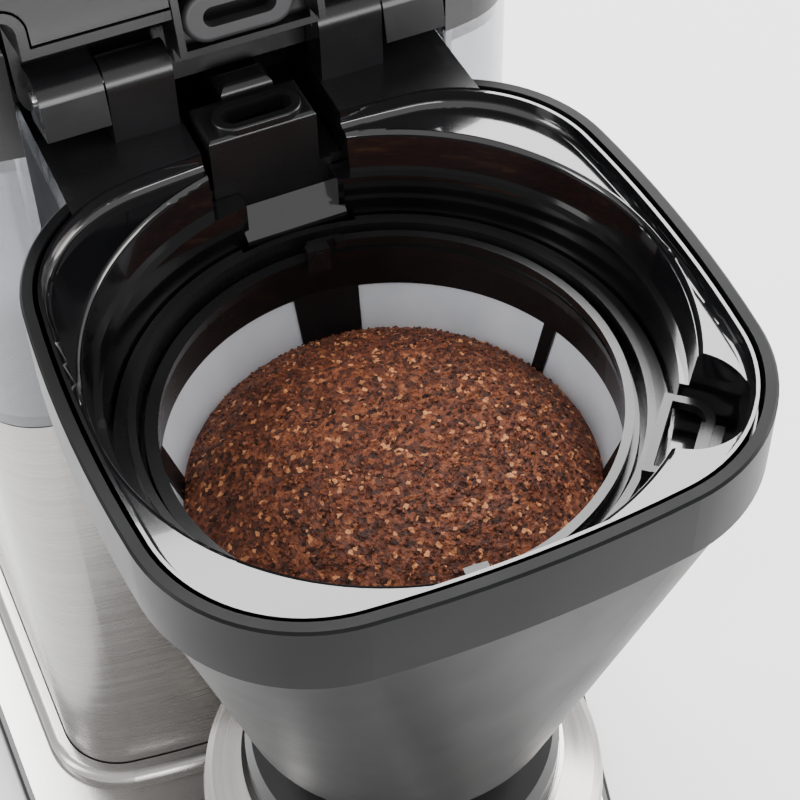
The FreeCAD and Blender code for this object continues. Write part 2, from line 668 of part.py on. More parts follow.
def make_head_shell():
    skirt = prism(RIM, 0, SKIRT_Z, RIM_Z)
    skirt = skirt.makeChamfer(0.6, edges_where(skirt, lambda e: lies_at_z(e, RIM_Z)))
    cone = rim_cone(1.5, SKIRT_Z, CONE_R, CONE_Z)
    neck = box(-NECK_HALF_W, NECK_HALF_W, 30, NECK_BACK, SLEEVE_TOP + 0.3, rel(BLOCK_Z))
    outer = fuse([skirt, cone, neck])
    hollow = rim_cone(4.2, SKIRT_Z, CONE_R - 2.7, CONE_Z + 2.5)
    top_hollow = prism(RIM, LIP_W, SKIRT_Z - 0.2, RIM_Z + 1)
    shaft = box(-16, 16, 40, 108, SLEEVE_TOP - 1, rel(BLOCK_Z) + 1)
    ledge_seat = box(-CHANNEL_HALF_W, CHANNEL_HALF_W, 71.9, 107.6, rel(10.0), rel(BLOCK_Z) + 1)
    cells = [box(x - 15.5, x + 15.5, 78, 97, SLEEVE_TOP + 4, rel(BLOCK_Z) + 1) for x in (-33.0, 33.0)]
    spout = cyl(24.0, CONE_Z - 1, CONE_Z + 4)
    hinge_seat = box(-NECK_HALF_W - 0.05, NECK_HALF_W + 0.05, 60, NECK_BACK + 1, rel(BLOCK_Z), RIM_Z + 1)
    bores = [cyl(1.7, 200, 240, x, 104.0) for x in (-36.0, 36.0)]
    for space in [hollow, top_hollow, shaft, ledge_seat, spout, hinge_seat, group(bores)] + cells:
        outer = outer.cut(space)
    return outer


def bowl_space():
    """The hollow inside the bowl: dish, stepped bore, grip pocket and chute channel."""
    dish = prism(RIM, DISH_INSET, rel(STEP_A[1]), RIM_Z + 5)
    dish = dish.makeFillet(DISH_R, edges_where(dish, lambda e: lies_at_z(e, rel(STEP_A[1]))))
    round_r, round_z = STEP_A[0] + STEP_A_ROUND, rel(STEP_A[1]) - STEP_A_ROUND
    edge = cyl(round_r, round_z, RIM_Z + 5)
    edge = edge.cut(Part.makeTorus(round_r, STEP_A_ROUND, V(0, 0, round_z)))
    bore = revolve([(0, rel(STEP_A[1]) + 2), (STEP_A[0], rel(STEP_A[1]) + 2), (STEP_A[0], rel(STEP_A[1])),
                    (68.6, rel(STEP_B[1])), (STEP_B[0], rel(STEP_B[1])), (65.8, rel(SEAT_Z)),
                    (SEAT_BORE, rel(SEAT_Z)), (SEAT_BORE, rel(-12.0)), (0, rel(-12.0))])
    pocket = grip_pocket(0, rel(2.0), RIM_Z + 1)
    channel = box(-CHANNEL_HALF_W, CHANNEL_HALF_W, 50, 90, rel(CHANNEL_FLOOR), RIM_Z + 1)
    return fuse([dish, edge, bore, pocket, channel])


def chute_floor():
    """Sloping floor with a rounded lip, between two low side walls."""
    x0, x1, lip = CHUTE
    w0, w1 = x0 - CHUTE_WALL, x1 + CHUTE_WALL
    top = [(lip, -0.6), (lip + 0.5, 0.5), (lip + 1.6, 1.3), (lip + 3.9, 2.4), (CHUTE_END, 5.4)]
    profile = [V(w0, y, rel(z)) for y, z in top + [(CHUTE_END, -6.0), (lip, -6.0)]]
    floor = Part.Face(Part.makePolygon(profile + profile[:1])).extrude(V(w1 - w0, 0, 0))
    walls = box(w0, w1, lip, CHUTE_END, rel(-6.0), rel(CHANNEL_FLOOR))
    walls = walls.cut(box(x0, x1, 0, 100, rel(-7.0), rel(20.0))).cut(cyl(STEP_B[0], rel(-8), rel(20)))
    return fuse([floor, walls])


def make_head_bowl():
    """Glossy dish, two steps and the ring that the brew basket hangs in."""
    deck = prism(RIM, BOWL_INSET, rel(9.0), RIM_Z - 0.4)
    under = prism(RIM, BOWL_INSET + 2.0, rel(8.0), rel(18.8)).cut(cyl(STEP_A[0] + 2.0, rel(7), rel(20)))
    under = under.cut(grip_pocket(2.0, rel(7), rel(20)))
    deck = deck.cut(under)
    well = revolve([(0, rel(20.0)), (STEP_A[0] + 2.0, rel(20.0)), (70.6, rel(8.3)), (68.2, rel(8.3)),
                    (67.8, rel(SEAT_Z - 2.0)), (SEAT_BORE + 1.5, rel(SEAT_Z - 7.0)), (0, rel(SEAT_Z - 7.0))])
    room = fuse([rim_cone(4.5, SKIRT_Z, CONE_R - 3.0, CONE_Z), prism(RIM, LIP_W + 0.8, SKIRT_Z, RIM_Z)])
    pocket = grip_pocket(2.0, rel(0.0), rel(20.0)).common(room)
    channel = box(-CHANNEL_HALF_W, CHANNEL_HALF_W, 60, CHUTE_END, rel(8.3), rel(CHANNEL_FLOOR))
    bowl = fuse([deck, well, pocket, channel]).cut(bowl_space())
    x0, x1, lip = CHUTE
    bowl = bowl.cut(box(x0 - CHUTE_WALL, x1 + CHUTE_WALL, lip, CHUTE_END, rel(-6.0), rel(CHANNEL_FLOOR) + 0.1))
    bowl = bowl.cut(box(-CHANNEL_HALF_W, CHANNEL_HALF_W, CHUTE_END, 80.0, rel(8.0), rel(20.0)))
    seat = ring(STEP_B[0] - 0.7, SEAT_BORE, rel(SEAT_Z - 2.0), rel(SEAT_Z))
    return fuse([bowl, seat, chute_floor()])


def make_hinge_block():
    slab = box(-NECK_HALF_W, NECK_HALF_W, 60, NECK_BACK, rel(BLOCK_Z), RIM_Z)
    slab = slab.cut(prism(RIM, BOWL_INSET - 0.15, rel(0), RIM_Z + 1))
    rear_wall = box(-WELL_HALF_W + 0.3, WELL_HALF_W - 0.3, 110.0, NECK_BACK + 0.7, RIM_Z, TOP_Z)
    rear_wall = rear_wall.makeFillet(1.0, edges_where(rear_wall, lambda e: lies_at_z(e, TOP_Z)))
    x0, x1 = KNUCKLE_X
    barrel = x_rod(BARREL_R, x0, x1, HINGE_Y, HINGE_Z)
    web = box(x0, x1, HINGE_Y - BARREL_R, HINGE_Y + 3.4, RIM_Z - 1, HINGE_Z)
    knuckle = fuse([barrel, web])
    block = fuse([slab, rear_wall, knuckle, mirrored(knuckle)])
    cuts = [box(-CHANNEL_HALF_W, CHANNEL_HALF_W, 60, 108.0, rel(BLOCK_Z) - 1, RIM_Z + 1)]
    cuts.append(x_rod(PIN_R, -60, 60, HINGE_Y, HINGE_Z))
    return block.cut(group(cuts))


def make_hinge_pins():
    pin = x_rod(PIN_R, KNUCKLE_X[0], LID_KNUCKLE_X[1] + 0.6, HINGE_Y, HINGE_Z)
    return group([pin, mirrored(pin)])


PORT = (-1.5, 76.8)               # centre of the water port
PORT_TOP = 30.5
PORT_FRONT = 71.2                 # wall that the chute runs up to


def make_port_block():
    """Raised block with the oval port; the riser tube enters from below at the back."""
    px, py = PORT
    block = box(-16.3, 12.3, PORT_FRONT, 86.0, rel(10.0), rel(28.8))
    block = block.makeFillet(1.2, edges_where(block, lambda e: lies_at_z(e, rel(28.8))))
    riser = box(-8.0, 6.0, 84.0, 92.0, rel(10.0), rel(32.8))
    riser = riser.makeFillet(2.5, edges_where(riser, lambda e: lies_at_z(e, rel(32.8))))
    tail = box(-8.0, 6.0, 90.0, 106.0, rel(10.0), rel(28.0))
    ledge = box(-CHANNEL_HALF_W, CHANNEL_HALF_W, 72.0, 107.5, rel(10.0), rel(13.0))
    apron = box(-15.5, 15.5, PORT_FRONT, PORT_FRONT + 2.5, rel(3.0), rel(13.0))
    port_ring = prism(stadium_arcs(px, py, 11.7, 5.4), 0, rel(28.0), rel(PORT_TOP))
    port_ring = port_ring.makeFillet(0.6, edges_where(port_ring, lambda e: lies_at_z(e, rel(PORT_TOP))))
    barb = cyl(6.0, rel(9.8), rel(11.0), *RISER)
    solid = fuse([block, riser, tail, ledge, apron, port_ring, barb])
    passage = prism(stadium_arcs(px, py, 9.4, 3.1), 0, rel(20.0), rel(40.0))
    link = box(px - 4.0, px + 4.0, py - 2, 102.0, rel(20.0), rel(26.0))
    foot = cyl(4.0, rel(5.0), rel(22.0), *RISER)
    return solid.cut(group([passage, link, foot]))


parts["head_shell"] = make_head_shell()
parts["head_bowl"] = make_head_bowl()
parts["hinge_block"] = make_hinge_block()
parts["hinge_pins"] = make_hinge_pins()
parts["port_block"] = make_port_block()


# ---------------------------------------------------------------- lid (drawn closed, then opened)
LID_EDGE_Z = rel(27.6)            # plane of the lid's lower edge
LID_BACK_Y = 100.0
LID_LIP_Y = 73.0                  # front wall of the hinge pocket
LID_NECK_HALF_W = 56.3
LID_SHOULDER_Y = 62.0
LID_STEP_R = 4.2
LID_REAR_R = 9.0
LID_WALL = 2.4


def lid_arcs():
    """The rim's outline in front, stepping in to a straight neck over the hinge."""
    cx, cy, r, a0, _ = RIM[1]
    turn = math.degrees(math.asin((LID_SHOULDER_Y - cy) / r))
    swing = r - LID_STEP_R
    step_x = cx + swing * math.cos(math.radians(turn))
    step_y = cy + swing * math.sin(math.radians(turn))
    neck_x = LID_NECK_HALF_W - LID_REAR_R
    right = [RIM[7], RIM[0], (cx, cy, r, a0, turn), (step_x, step_y, LID_STEP_R, turn, 90),
             (LID_NECK_HALF_W + 3.0, step_y + LID_STEP_R + 3.0, 3.0, 270, 180),
             (neck_x, LID_BACK_Y - LID_REAR_R, LID_REAR_R, 0, 90)]
    left = [(-x, y, radius, 180 - end, 180 - start) for x, y, radius, start, end in reversed(right)]
    return [RIM[6]] + right + left


LID = lid_arcs()


def lid_plan(inset, z0, z1):
    return prism(LID, 0.8 + inset, z0, z1)


def make_lid_cover():
    cover = lid_plan(0, LID_EDGE_Z, TOP_Z)
    cover = cover.makeFillet(3.0, edges_where(cover, lambda e: lies_at_z(e, TOP_Z)))
    cavity = lid_plan(LID_WALL, LID_EDGE_Z - 1, TOP_Z - 2.6)
    cavity = cavity.cut(box(-90, 90, LID_LIP_Y - LID_WALL, 110, LID_EDGE_Z - 2, TOP_Z + 1))
    pocket = box(-90, 90, LID_LIP_Y, 110, LID_EDGE_Z - 2, HINGE_Z + BARREL_R + 1.0)
    cover = cover.cut(cavity).cut(pocket)
    cover = cover.cut(box(-19.1, 18.9, LID_LIP_Y - 9, LID_LIP_Y + 1, LID_EDGE_Z - 1, HINGE_Z + BARREL_R + 1.0))
    x0, x1 = LID_KNUCKLE_X
    barrel = x_rod(BARREL_R, x0, x1, HINGE_Y, HINGE_Z)
    web = box(x0, x1, HINGE_Y - BARREL_R, HINGE_Y + BARREL_R, HINGE_Z, HINGE_Z + BARREL_R + 2.0)
    tail = box(x0, x1, HINGE_Y, HINGE_Y + 9.5, HINGE_Z - BARREL_R, HINGE_Z + BARREL_R + 2.0)
    knuckle = fuse([barrel, web, tail])
    cover = fuse([cover, knuckle, mirrored(knuckle)])
    return cover.cut(x_rod(PIN_BORE_R, -60, 60, HINGE_Y, HINGE_Z))


def make_lid_liner():
    plan = lid_plan(LID_WALL + 0.6, LID_EDGE_Z + 0.4, LID_EDGE_Z + 2.4)
    plan = plan.cut(box(-90, 90, LID_LIP_Y - LID_WALL - 0.6, 110, LID_EDGE_Z - 1, LID_EDGE_Z + 5))
    posts = [cyl(3.5, LID_EDGE_Z + 2.0, TOP_Z - 2.6, x, y) for x in (-52.0, 52.0) for y in (-45.0, 40.0)]
    liner = fuse([plan] + posts)
    cuts = [box(-19.0, 19.0, 46.0, 90, LID_EDGE_Z - 1, LID_EDGE_Z + 5), cyl(8.0, LID_EDGE_Z - 1, LID_EDGE_Z + 5)]
    cuts += [cyl(1.3, LID_EDGE_Z - 1, TOP_Z - 6, x, y) for x in (-52.0, 52.0) for y in (-45.0, 40.0)]
    cuts += [cyl(2.7, LID_EDGE_Z - 1, LID_EDGE_Z + 1.4, x, y) for x in (-52.0, 52.0) for y in (-45.0, 40.0)]
    return liner.cut(group(cuts))


DUCT_Z = 13.4                     # middle of the duct's pipe above the lid's edge


def make_lid_duct():
    """Collar box round the inlet, the oval inlet tube and the pipe to the shower head."""
    px, py = PORT
    z0 = LID_EDGE_Z
    frame = box(-18.9, 18.6, 64.5, 87.0, z0 - 0.6, z0 + 12.0)
    frame = frame.cut(box(-17.1, 16.8, 66.3, 85.2, z0 - 3, z0 + 10.0))
    frame = frame.cut(box(-20, 20, 83.2, 90, z0 - 3, rel(33.6)))
    inlet = prism(stadium_arcs(px, py, 12.6, 5.8), 0, z0 + 7.2, z0 + 11.0)
    line = [V(-9, 76, z0 + DUCT_Z), V(-12, 56, z0 + DUCT_Z), V(-3, 6, z0 + DUCT_Z)]
    foot = cyl(7.6, z0 + 0.4, z0 + 19.0, 0, 0)
    duct = fuse([frame, inlet, bent_tube(line, 6.0, 0, 20.0), foot])
    mouth = prism(stadium_arcs(px, py, 9.6, 2.8), 0, z0, z0 + DUCT_Z - 3.0)
    return duct.cut(group([mouth, bent_tube(line, 4.2, 0, 20.0), cyl(5.0, z0, z0 + DUCT_Z, 0, 0)]))


def make_lid_gasket():
    px, py = PORT
    z0 = rel(PORT_TOP) + GAP
    body = prism(stadium_arcs(px, py, 14.5, 6.6), 0, z0, LID_EDGE_Z + 7.2)
    body = body.makeFillet(1.4, edges_where(body, lambda e: lies_at_z(e, z0)))
    return body.cut(prism(stadium_arcs(px, py, 9.4, 2.6), 0, z0 - 1, LID_EDGE_Z + 8))


SHOWER_R = 31.0


def make_shower_head():
    z1 = LID_EDGE_Z + 0.4
    z0 = z1 - 8.0
    dish = cyl(SHOWER_R, z0, z1)
    dish = dish.makeFillet(2.5, edges_where(dish, lambda e: lies_at_z(e, z0)))
    dish = dish.cut(cyl(SHOWER_R - 2.4, z0 + 2.2, z1 - 1.6)).cut(cyl(5.2, z1 - 3, z1 + 1))
    holes = []
    for count, radius in ((1, 0.0), (6, 8.5), (12, 17.0), (16, 25.0)):
        for i in range(count):
            turn = 2 * math.pi * i / count
            holes.append(cyl(1.0, z0 - 1, z0 + 3, radius * math.cos(turn), radius * math.sin(turn)))
    return dish.cut(group(holes))


def make_lid_screws():
    z = LID_EDGE_Z - 0.2
    return group([screw(x, y, z, 2.6, 1.5, 1.3, 14.0) for x in (-52.0, 52.0) for y in (-45.0, 40.0)])


parts["lid_cover"] = lid_pose(make_lid_cover())
parts["lid_liner"] = lid_pose(make_lid_liner())
parts["lid_duct"] = lid_pose(make_lid_duct())
parts["lid_gasket"] = lid_pose(make_lid_gasket())
parts["shower_head"] = lid_pose(make_shower_head())
parts["lid_screws"] = lid_pose(make_lid_screws())


# ---------------------------------------------------------------- brew basket and filter
SPOUT_R = 9.0
SPOUT_END = 166.0
BASKET_FLOOR = rel(-84.0)
SPRING_TOP = SPOUT_END + 18.0


BASKET_SEAM = rel(-8.6)           # the rim ring sits on the cone here


def make_brew_basket():
    """Funnel with a spout; a bar across the spout stops the drip spring."""
    outer = revolve([(0, BASKET_SEAM), (61.4, BASKET_SEAM), (60.4, rel(-18.0)), (45.0, BASKET_FLOOR),
                     (0, BASKET_FLOOR)])
    inner = revolve([(0, rel(1.0)), (58.4, rel(1.0)), (58.4, BASKET_SEAM), (58.0, rel(-18.6)), (43.2, rel(-81.5)),
                     (0, rel(-81.5))])
    spout = cyl(SPOUT_R, SPOUT_END, BASKET_FLOOR + 1)
    basket = fuse([outer, spout]).cut(inner)
    basket = basket.cut(group([cyl(5.0, SPOUT_END + 4.0, rel(-80)), cyl(3.2, SPOUT_END - 1, SPOUT_END + 5)]))
    return fuse([basket, box(-5.6, 5.6, -1.2, 1.2, SPRING_TOP + 0.1, SPRING_TOP + 2.1)])


def make_basket_rim():
    """Rim ring with the ledge that hangs on the head's seat, notched at the chute."""
    rim = ring(BASKET_RIM_R, BASKET_RIM_BORE, BASKET_SEAM, rel(0.0))
    hanger = ring(65.2, BASKET_RIM_R - 0.5, rel(SEAT_Z) + GAP, rel(SEAT_Z) + 2.2)
    hanger = hanger.cut(box(CHUTE[0] - 3.2, CHUTE[1] + 3.2, 40, 70, rel(-6), rel(0)))
    return fuse([rim, hanger])


def make_basket_grip():
    """Thin D-shaped grip strap reaching into the corner pocket."""
    loop = prism(rounded_rect_arcs(60.0, 75.0, -12.0, 12.0, 6.0), 0, rel(6.5), rel(9.0))
    loop = loop.cut(prism(rounded_rect_arcs(55.0, 73.0, -10.0, 10.0, 4.5), 0, rel(6), rel(10)))
    loop = loop.common(box(62.2, 80, -20, 20, rel(6), rel(10)))
    bar = box(62.2, 64.4, -12.0, 12.0, rel(6.5), rel(9.0))
    legs = [box(62.2, 64.4, s * 10.6 - 1.4, s * 10.6 + 1.4, rel(-1.7), rel(9.0)) for s in (-1, 1)]
    tab = box(72.0, 77.5, -6.0, 6.0, rel(6.5), rel(8.6))
    grip = fuse([loop, bar, tab] + legs)
    grip.rotate(V(0, 0, 0), V(0, 0, 1), math.degrees(math.atan2(POCKET[1], POCKET[0])))
    return grip


def make_drip_valve():
    stem = cyl(3.1, SPOUT_END - 4.0, SPOUT_END + 9.0)
    head = cyl(4.6, SPOUT_END + 4.3, SPOUT_END + 6.5)
    return fuse([stem, head])


def make_drip_spring():
    """Coil that holds the valve on its seat, under a cross bar in the spout."""
    return ring(4.7, 3.9, SPOUT_END + 6.6, SPRING_TOP)


def make_filter_frame():
    rim_profile = [(55.4, rel(-4.6)), (58.6, rel(-4.6)), (58.9, rel(-7.3)), (58.9, rel(-8.2)), (57.9, rel(-8.2)),
                   (57.6, rel(-18.0)), (56.2, rel(-18.0)), (56.0, rel(-8.0))]
    rim = revolve(rim_profile)
    foot = revolve([(38.5, rel(-70.0)), (40.0, rel(-70.0)), (38.9, rel(-75.0)), (0, rel(-75.0)), (0, rel(-73.4)),
                    (37.4, rel(-73.4))])
    ribs = []
    wall = revolve([(57.6, rel(-17.5)), (56.2, rel(-17.5)), (38.4, rel(-70.5)), (39.8, rel(-70.5))])
    for centre, width in ((88.0, 18.0), (24.0, 4.0), (-20.0, 4.0), (-92.0, 18.0), (162.0, 7.0), (206.0, 4.0)):
        half = math.radians(width / 2.0)
        wedge = Part.makePolygon([V(0, 0, 0), V(80, -80 * math.tan(half), 0), V(80, 80 * math.tan(half), 0), V(0, 0, 0)])
        wedge = Part.Face(wedge).extrude(V(0, 0, 80))
        wedge.translate(V(0, 0, rel(-72.0)))
        wedge.rotate(V(0, 0, 0), V(0, 0, 1), centre)
        ribs.append(wall.common(wedge))
    bosses = []
    for side in (-1, 1):
        boss = box(-2.9, 2.9, 52.8, 55.7, rel(-7.0), rel(0.5))
        boss = boss.cut(y_rod(1.35, 50, 58, 0, rel(-1.2)))
        boss = boss if side > 0 else boss.mirror(V(0, 0, 0), V(0, 1, 0))
        bosses.append(boss)
    return filter_pose(fuse([rim, foot] + ribs + bosses))


def make_filter_mesh():
    """Fine mesh cone, moulded into the frame's wall."""
    return revolve([(56.1, rel(-17.6)), (56.0, rel(-17.6)), (38.1, rel(-70.0)), (38.3, rel(-70.0))])


def make_bail_handle():
    hoop = revolve([(BAIL_R - 1.1, rel(-2.5)), (BAIL_R + 1.1, rel(-2.5)), (BAIL_R + 1.1, rel(0.1)),
                    (BAIL_R - 1.1, rel(0.1))])
    hoop = hoop.common(box(5.2, 80, -80, 80, 0, 400))
    ends = []
    for side in (-1, 1):
        arm = box(-2.0, 7.0, 56.1, 57.3, rel(-2.6), rel(0.2))
        pivot = y_rod(1.3, 52.2, 56.6, 0, rel(-1.2))
        end = fuse([arm, pivot])
        ends.append(end if side > 0 else end.mirror(V(0, 0, 0), V(0, 1, 0)))
    return filter_pose(fuse([hoop] + ends))


def make_coffee_grounds():
    return revolve([(0, rel(-73.0)), (36.6, rel(-73.0)), (37.6, rel(-70.0)), (51.3, rel(-30.5)), (48.0, rel(-26.0)),
                    (40.0, rel(-19.0)), (30.0, rel(-13.5)), (17.0, rel(-10.0)), (0, rel(-9.0))])


parts["brew_basket"] = make_brew_basket()
parts["basket_rim"] = make_basket_rim()
parts["basket_grip"] = make_basket_grip()
parts["drip_valve"] = make_drip_valve()
parts["drip_spring"] = make_drip_spring()
parts["filter_frame"] = make_filter_frame()
parts["filter_mesh"] = make_filter_mesh()
parts["bail_handle"] = make_bail_handle()
parts["coffee_grounds"] = make_coffee_grounds()


# ---------------------------------------------------------------- carafe
NECK_R = 46.5
HANDLE_SCREW_Z = (64.0, 117.0)


def make_carafe_body():
    outer = revolve([(0, CARAFE_FOOT_Z + 6), (55.5, CARAFE_FOOT_Z + 6), (CARAFE_R, 62.0), (CARAFE_R, 128.0),
                     (59.2, 132.0), (57.0, CARAFE_SHOULDER_Z), (NECK_R + 1.2, 139.0), (NECK_R + 1.2, 142.0),
                     (0, 142.0)])
    inner = revolve([(0, CARAFE_FOOT_Z + 7.2), (54.4, CARAFE_FOOT_Z + 7.2), (58.8, 62.2), (58.8, 127.8),
                     (58.0, 131.2), (56.4, 132.8), (NECK_R, 137.9), (NECK_R, 145.0), (0, 145.0)])
    return outer.cut(inner).cut(handle_screw_holes())


def handle_screw_holes():
    return group([y_rod(1.6, -62.5, -50.0, 0, z) for z in HANDLE_SCREW_Z])


def make_carafe_liner():
    outer = revolve([(0, 43.0), (50.0, 43.0), (55.0, 50.0), (55.0, 122.0), (44.5, 133.0), (44.5, 141.6),
                     (46.4, 141.6), (46.4, 142.4), (0, 142.4)])
    inner = revolve([(0, 43.8), (49.6, 43.8), (54.2, 50.3), (54.2, 121.7), (43.7, 132.6), (43.7, 145.0), (0, 145.0)])
    return outer.cut(inner)


def make_carafe_foot():
    cup = revolve([(0, CARAFE_FOOT_Z), (53.0, CARAFE_FOOT_Z), (56.2, CARAFE_FOOT_Z + 3.0), (56.2, CARAFE_FOOT_Z + 6.0),
                   (0, CARAFE_FOOT_Z + 6.0)])
    return cup.cut(cyl(46.0, CARAFE_FOOT_Z - 1, CARAFE_FOOT_Z + 1.6))


def make_carafe_handle():
    """Broad loop, wider at its root pads, with a rounded section all the way round."""
    half_t = 4.5
    reach = HANDLE_FRONT + half_t
    path = tube_path([V(0, -58.8, 121), V(0, reach, 121), V(0, reach + 5, 50), V(0, -59.0, 56)], 14.0)
    start = Part.Wire(Part.Ellipse(V(0, -58.8, 121), 10.5, half_t).toShape())
    start.rotate(V(0, -58.8, 121), V(1, 0, 0), 90.0)
    grip = path.makePipeShell([start], True, False)
    pads = [prism(rounded_rect_arcs(-12, 12, -64.0, -50, 2.0), 0, 109, 131),
            prism(rounded_rect_arcs(-11, 11, -64.0, -50, 2.0), 0, 46, 68)]
    return fuse([grip] + pads).cut(cyl(CARAFE_R + 0.02, 20, 160)).cut(handle_screw_holes())


def make_handle_screws():
    return group([fuse([y_rod(3.0, -58.2, -56.6, 0, z), y_rod(1.6, -62.5, -58.2, 0, z)]) for z in HANDLE_SCREW_Z])


CARAFE_LID_TOP = 158.0
BRIDGE_TOP = SPOUT_END - 4.5


def make_carafe_lid():
    cap = revolve([(0, 142.8), (46.0, 142.8), (46.0, 150.0), (44.0, 154.0), (30.0, 158.0), (0, CARAFE_LID_TOP)])
    plug = cyl(42.4, 126.0, 143.5)
    hollow = cyl(39.8, 125.0, 147.0)
    cup = revolve([(0, 150.0), (9.0, 150.0), (24.0, CARAFE_LID_TOP + 1), (0, CARAFE_LID_TOP + 1)])
    lid = fuse([cap, plug]).cut(group([hollow, cup, cyl(6.0, 120, 170)]))
    bridge = box(-10.5, 10.5, -1.6, 1.6, 149.0, 152.0)
    button = cyl(2.6, 149.0, BRIDGE_TOP)
    return fuse([lid, bridge, button])


def make_carafe_lid_seal():
    return ring(43.5, 42.4, 135.0, 138.0)


parts["carafe_body"] = make_carafe_body()
parts["carafe_liner"] = make_carafe_liner()
parts["carafe_foot"] = make_carafe_foot()
parts["carafe_handle"] = make_carafe_handle()
parts["handle_screws"] = make_handle_screws()
parts["carafe_lid"] = make_carafe_lid()
parts["carafe_lid_seal"] = make_carafe_lid_seal()


# ---------------------------------------------------------------- write
MIDDLE_Y = (GLAND_BACK + HANDLE_FRONT) / 2.0

os.makedirs("parts", exist_ok=True)
for name, shape in parts.items():
    placed = shape.copy()
    placed.translate(V(0, -MIDDLE_Y, 0))
    placed.exportStep(os.path.join("parts", name + ".step"))
    bounds = placed.BoundBox
    print("%-20s solids %d valid %s volume %.0f  y %.2f..%.2f z %.1f..%.1f" % (
        name, len(placed.Solids), placed.isValid(), placed.Volume, bounds.YMin, bounds.YMax,
        bounds.ZMin, bounds.ZMax))
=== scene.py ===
import json
import math
import random

import bmesh
import bpy
from mathutils import Euler, Matrix, Vector, noise


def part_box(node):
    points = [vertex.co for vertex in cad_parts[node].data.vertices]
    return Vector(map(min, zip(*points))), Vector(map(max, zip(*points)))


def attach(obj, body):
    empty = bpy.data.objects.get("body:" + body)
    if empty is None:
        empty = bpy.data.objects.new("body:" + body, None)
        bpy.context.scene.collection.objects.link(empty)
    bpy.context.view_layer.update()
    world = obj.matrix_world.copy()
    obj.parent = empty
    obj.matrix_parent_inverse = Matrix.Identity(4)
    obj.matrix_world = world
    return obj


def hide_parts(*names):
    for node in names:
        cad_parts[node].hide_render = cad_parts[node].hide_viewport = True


# Looks for a drip coffee maker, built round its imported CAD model.  Metres, +Z up, front to -Y.

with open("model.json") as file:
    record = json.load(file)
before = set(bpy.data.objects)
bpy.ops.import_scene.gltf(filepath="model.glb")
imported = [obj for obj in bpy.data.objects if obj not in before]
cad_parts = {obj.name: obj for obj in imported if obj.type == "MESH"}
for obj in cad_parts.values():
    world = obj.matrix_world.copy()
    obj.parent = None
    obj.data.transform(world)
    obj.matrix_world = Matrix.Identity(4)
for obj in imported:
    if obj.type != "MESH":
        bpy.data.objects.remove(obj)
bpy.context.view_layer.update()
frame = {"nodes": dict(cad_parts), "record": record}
nodes = frame["nodes"]

MM = 0.001

# ---------------------------------------------------------------- places read from the frame
rest_low, rest_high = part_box("carafe_rest")
BREW_X = (rest_low.x + rest_high.x) / 2
BREW_Y = (rest_low.y + rest_high.y) / 2
BREW_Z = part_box("brew_basket")[1].z
BREW = Vector((BREW_X, BREW_Y, BREW_Z))      # on the brew axis, level with the basket's top


def add_object(name, data):
    thing = bpy.data.objects.new(name, data)
    bpy.context.scene.collection.objects.link(thing)
    return thing


# ---------------------------------------------------------------- camera, light and floor
CAMERA_AZIMUTH = math.radians(-23.28)
CAMERA_ELEVATION = math.radians(48.47)
CAMERA_ROLL = math.radians(-1.54)
CAMERA_FROM_BREW = Vector((-0.1159, -0.2745, 0.3440))
SENSOR_WIDTH = 36.0               # millimetres, as Blender wants it
LENS = 85.68                      # millimetres

WORLD_STRENGTH = 1.35
WHITE = (1, 1, 1)
WARM_WHITE = (1.0, 0.96, 0.92)
# name, place, height above BREW of the point it faces, width, height, watts, colour
SOFTBOXES = (
    ("rear_box", (0.35, 1.15, 1.75), 0.0, 1.5, 0.9, 75, WHITE),
    ("front_box", (0.15, -1.6, 0.4), 0.1, 1.1, 0.5, 20, WHITE),
    ("left_box", (-1.3, 0.1, 0.9), 0.0, 0.3, 0.9, 10, WHITE),
    ("right_box", (1.3, -0.25, 0.7), 0.0, 0.6, 0.9, 16, WARM_WHITE),
)

FLOOR_HALF = 3
FLOOR_COLOUR = (0.97, 0.97, 0.97, 1)
FLOOR_ROUGHNESS = 0.7


def make_camera():
    """Close view down into the open brew head from the front left."""
    back = Vector((math.sin(CAMERA_AZIMUTH) * math.cos(CAMERA_ELEVATION),
                   -math.cos(CAMERA_AZIMUTH) * math.cos(CAMERA_ELEVATION),
                   math.sin(CAMERA_ELEVATION)))
    right = Vector((math.cos(CAMERA_AZIMUTH), math.sin(CAMERA_AZIMUTH), 0.0))
    up = back.cross(right)
    rolled_right = math.cos(CAMERA_ROLL) * right + math.sin(CAMERA_ROLL) * up
    rolled_up = -math.sin(CAMERA_ROLL) * right + math.cos(CAMERA_ROLL) * up
    data = bpy.data.cameras.new("camera")
    data.sensor_width = SENSOR_WIDTH
    data.lens = LENS
    camera = add_object("camera", data)
    turn = Matrix((rolled_right, rolled_up, back)).transposed().to_4x4()
    camera.matrix_world = Matrix.Translation(BREW + CAMERA_FROM_BREW) @ turn
    bpy.context.scene.camera = camera


def add_softbox(name, place, target, width, height, power, colour):
    data = bpy.data.lights.new(name, "AREA")
    data.shape = "RECTANGLE"
    data.size = width
    data.size_y = height
    data.energy = power
    data.color = colour
    lamp = add_object(name, data)
    lamp.location = place
    lamp.rotation_euler = (Vector(target) - Vector(place)).to_track_quat("-Z", "Y").to_euler()


def make_studio():
    world = bpy.data.worlds.new("studio")
    world.use_nodes = True
    background = world.node_tree.nodes["Background"]
    background.inputs["Color"].default_value = (*WHITE, 1)
    background.inputs["Strength"].default_value = WORLD_STRENGTH
    bpy.context.scene.world = world
    for name, place, lift, width, height, power, colour in SOFTBOXES:
        add_softbox(name, place, (BREW_X, BREW_Y, BREW_Z + lift), width, height, power, colour)


